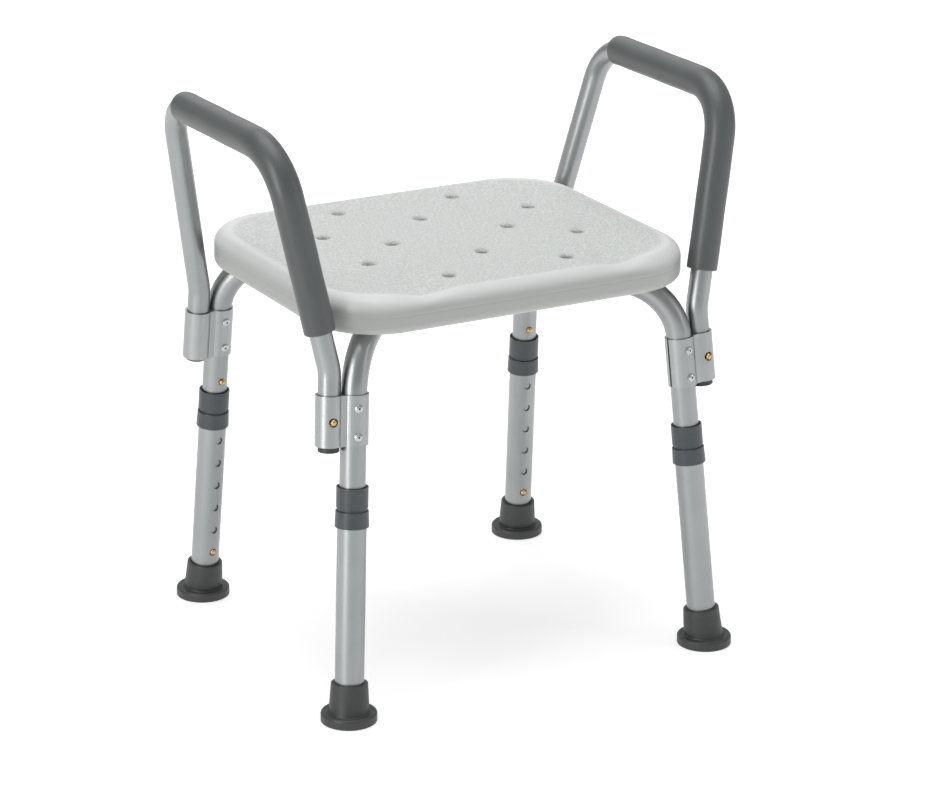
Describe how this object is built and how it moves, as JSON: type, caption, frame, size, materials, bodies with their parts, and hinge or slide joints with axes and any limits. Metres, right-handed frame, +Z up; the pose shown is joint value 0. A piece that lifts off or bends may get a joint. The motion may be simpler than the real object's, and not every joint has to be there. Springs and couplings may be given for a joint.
{
  "type": "shower stool",
  "caption": "Height-adjustable shower stool with a moulded seat with drain holes, splayed tube legs on rubber feet and two foam-gripped arm loops.",
  "frame": {"origin": "on the floor under the middle of the seat, feet at their lowest setting", "axes": "+X to the right of somebody who faces the front edge of the seat, +Y to the back, +Z up"},
  "size_m": [0.5262, 0.4132, 0.5749],
  "materials": {
    "seat_plastic": "off-white blow-moulded polyethylene, pebbled on top",
    "tube_aluminium": "satin anodised",
    "bracket_aluminium": "satin anodised extrusion",
    "rivet_aluminium": "plain",
    "button_brass": "polished",
    "spring_steel": "blued strip",
    "zinc_steel": "zinc plated",
    "collar_plastic": "dark grey, fine satin",
    "plug_plastic": "black, satin",
    "grip_foam": "closed-cell foam, matt",
    "foot_rubber": "grey rubber, matt"
  },
  "bodies": {
    "stool": {"seat": "seat_plastic", "seat_screws": "zinc_steel", "centre_bolt": "zinc_steel", "centre_nut": "zinc_steel", "left_back_frame_tube": "tube_aluminium", "left_front_frame_tube": "tube_aluminium", "left_arm_tube": "tube_aluminium", "left_arm_grip": "grip_foam", "left_arm_plugs": "plug_plastic", "left_arm_springs": "spring_steel", "right_arm_tube": "tube_aluminium", "right_arm_grip": "grip_foam", "right_arm_plugs": "plug_plastic", "right_arm_springs": "spring_steel", "left_front_bracket": "bracket_aluminium", "left_front_rivets": "rivet_aluminium", "left_front_leg_springs": "spring_steel", "left_back_bracket": "bracket_aluminium", "left_back_rivets": "rivet_aluminium", "left_back_leg_springs": "spring_steel", "right_front_bracket": "bracket_aluminium", "right_front_rivets": "rivet_aluminium", "right_front_leg_springs": "spring_steel", "right_back_bracket": "bracket_aluminium", "right_back_rivets": "rivet_aluminium", "right_back_leg_springs": "spring_steel"},
    "left_front_lower_leg": {"left_front_leg_tube": "tube_aluminium", "left_front_lower_collar": "collar_plastic", "left_front_upper_collar": "collar_plastic", "left_front_foot": "foot_rubber", "left_front_foot_washer": "zinc_steel"},
    "left_front_lower_press": {"left_front_lower_button": "button_brass"},
    "left_front_upper_press": {"left_front_upper_button": "button_brass"},
    "left_front_arm_press": {"left_front_arm_button": "button_brass"},
    "left_back_lower_leg": {"left_back_leg_tube": "tube_aluminium", "left_back_lower_collar": "collar_plastic", "left_back_upper_collar": "collar_plastic", "left_back_foot": "foot_rubber", "left_back_foot_washer": "zinc_steel"},
    "left_back_lower_press": {"left_back_lower_button": "button_brass"},
    "left_back_upper_press": {"left_back_upper_button": "button_brass"},
    "left_back_arm_press": {"left_back_arm_button": "button_brass"},
    "right_front_lower_leg": {"right_front_leg_tube": "tube_aluminium", "right_front_lower_collar": "collar_plastic", "right_front_upper_collar": "collar_plastic", "right_front_foot": "foot_rubber", "right_front_foot_washer": "zinc_steel"},
    "right_front_lower_press": {"right_front_lower_button": "button_brass"},
    "right_front_upper_press": {"right_front_upper_button": "button_brass"},
    "right_front_arm_press": {"right_front_arm_button": "button_brass"},
    "right_back_lower_leg": {"right_back_leg_tube": "tube_aluminium", "right_back_lower_collar": "collar_plastic", "right_back_upper_collar": "collar_plastic", "right_back_foot": "foot_rubber", "right_back_foot_washer": "zinc_steel"},
    "right_back_lower_press": {"right_back_lower_button": "button_brass"},
    "right_back_upper_press": {"right_back_upper_button": "button_brass"},
    "right_back_arm_press": {"right_back_arm_button": "button_brass"}
  },
  "joints": [
    {"name": "left_front_leg_slide", "type": "slide", "parent": "stool", "child": "left_front_lower_leg", "axis": [-0.066, -0.0913, -0.9936], "range_m": [0, 0.127], "deforming": ["left_front_lower_button"]},
    {"name": "left_front_lower_button_press", "type": "slide", "parent": "stool", "child": "left_front_lower_press", "axis": [-0.1213, -0.9877, 0.0988], "range_m": [0, 0.0032], "stiffness_N_per_m": 1200, "springref_m": -0.004, "deforming": ["left_front_leg_springs"]},
    {"name": "left_front_upper_button_press", "type": "slide", "parent": "stool", "child": "left_front_upper_press", "axis": [-0.1213, -0.9877, 0.0988], "range_m": [0, 0.0032], "stiffness_N_per_m": 1200, "springref_m": -0.004, "deforming": ["left_front_leg_springs"]},
    {"name": "left_front_arm_button_press", "type": "slide", "parent": "stool", "child": "left_front_arm_press", "axis": [0.1213, 0.9877, -0.0988], "range_m": [0, 0.0045], "stiffness_N_per_m": 1200, "springref_m": -0.004, "deforming": ["left_arm_springs"]},
    {"name": "left_back_leg_slide", "type": "slide", "parent": "stool", "child": "left_back_lower_leg", "axis": [-0.0278, 0.0915, -0.9954], "range_m": [0, 0.127], "deforming": ["left_back_lower_button"]},
    {"name": "left_back_lower_button_press", "type": "slide", "parent": "stool", "child": "left_back_lower_press", "axis": [-0.1213, 0.9881, 0.0942], "range_m": [0, 0.0032], "stiffness_N_per_m": 1200, "springref_m": -0.004, "deforming": ["left_back_leg_springs"]},
    {"name": "left_back_upper_button_press", "type": "slide", "parent": "stool", "child": "left_back_upper_press", "axis": [-0.1213, 0.9881, 0.0942], "range_m": [0, 0.0032], "stiffness_N_per_m": 1200, "springref_m": -0.004, "deforming": ["left_back_leg_springs"]},
    {"name": "left_back_arm_button_press", "type": "slide", "parent": "stool", "child": "left_back_arm_press", "axis": [0.1213, -0.9881, -0.0942], "range_m": [0, 0.0045], "stiffness_N_per_m": 1200, "springref_m": -0.004, "deforming": ["left_arm_springs"]},
    {"name": "right_front_leg_slide", "type": "slide", "parent": "stool", "child": "right_front_lower_leg", "axis": [0.066, -0.0913, -0.9936], "range_m": [0, 0.127], "deforming": ["right_front_lower_button"]},
    {"name": "right_front_lower_button_press", "type": "slide", "parent": "stool", "child": "right_front_lower_press", "axis": [0.1213, -0.9877, 0.0988], "range_m": [0, 0.0032], "stiffness_N_per_m": 1200, "springref_m": -0.004, "deforming": ["right_front_leg_springs"]},
    {"name": "right_front_upper_button_press", "type": "slide", "parent": "stool", "child": "right_front_upper_press", "axis": [0.1213, -0.9877, 0.0988], "range_m": [0, 0.0032], "stiffness_N_per_m": 1200, "springref_m": -0.004, "deforming": ["right_front_leg_springs"]},
    {"name": "right_front_arm_button_press", "type": "slide", "parent": "stool", "child": "right_front_arm_press", "axis": [-0.1213, 0.9877, -0.0988], "range_m": [0, 0.0045], "stiffness_N_per_m": 1200, "springref_m": -0.004, "deforming": ["right_arm_springs"]},
    {"name": "right_back_leg_slide", "type": "slide", "parent": "stool", "child": "right_back_lower_leg", "axis": [0.0278, 0.0915, -0.9954], "range_m": [0, 0.127], "deforming": ["right_back_lower_button"]},
    {"name": "right_back_lower_button_press", "type": "slide", "parent": "stool", "child": "right_back_lower_press", "axis": [0.1213, 0.9881, 0.0942], "range_m": [0, 0.0032], "stiffness_N_per_m": 1200, "springref_m": -0.004, "deforming": ["right_back_leg_springs"]},
    {"name": "right_back_upper_button_press", "type": "slide", "parent": "stool", "child": "right_back_upper_press", "axis": [0.1213, 0.9881, 0.0942], "range_m": [0, 0.0032], "stiffness_N_per_m": 1200, "springref_m": -0.004, "deforming": ["right_back_leg_springs"]},
    {"name": "right_back_arm_button_press", "type": "slide", "parent": "stool", "child": "right_back_arm_press", "axis": [-0.1213, -0.9881, -0.0942], "range_m": [0, 0.0045], "stiffness_N_per_m": 1200, "springref_m": -0.004, "deforming": ["right_arm_springs"]}
  ]
}
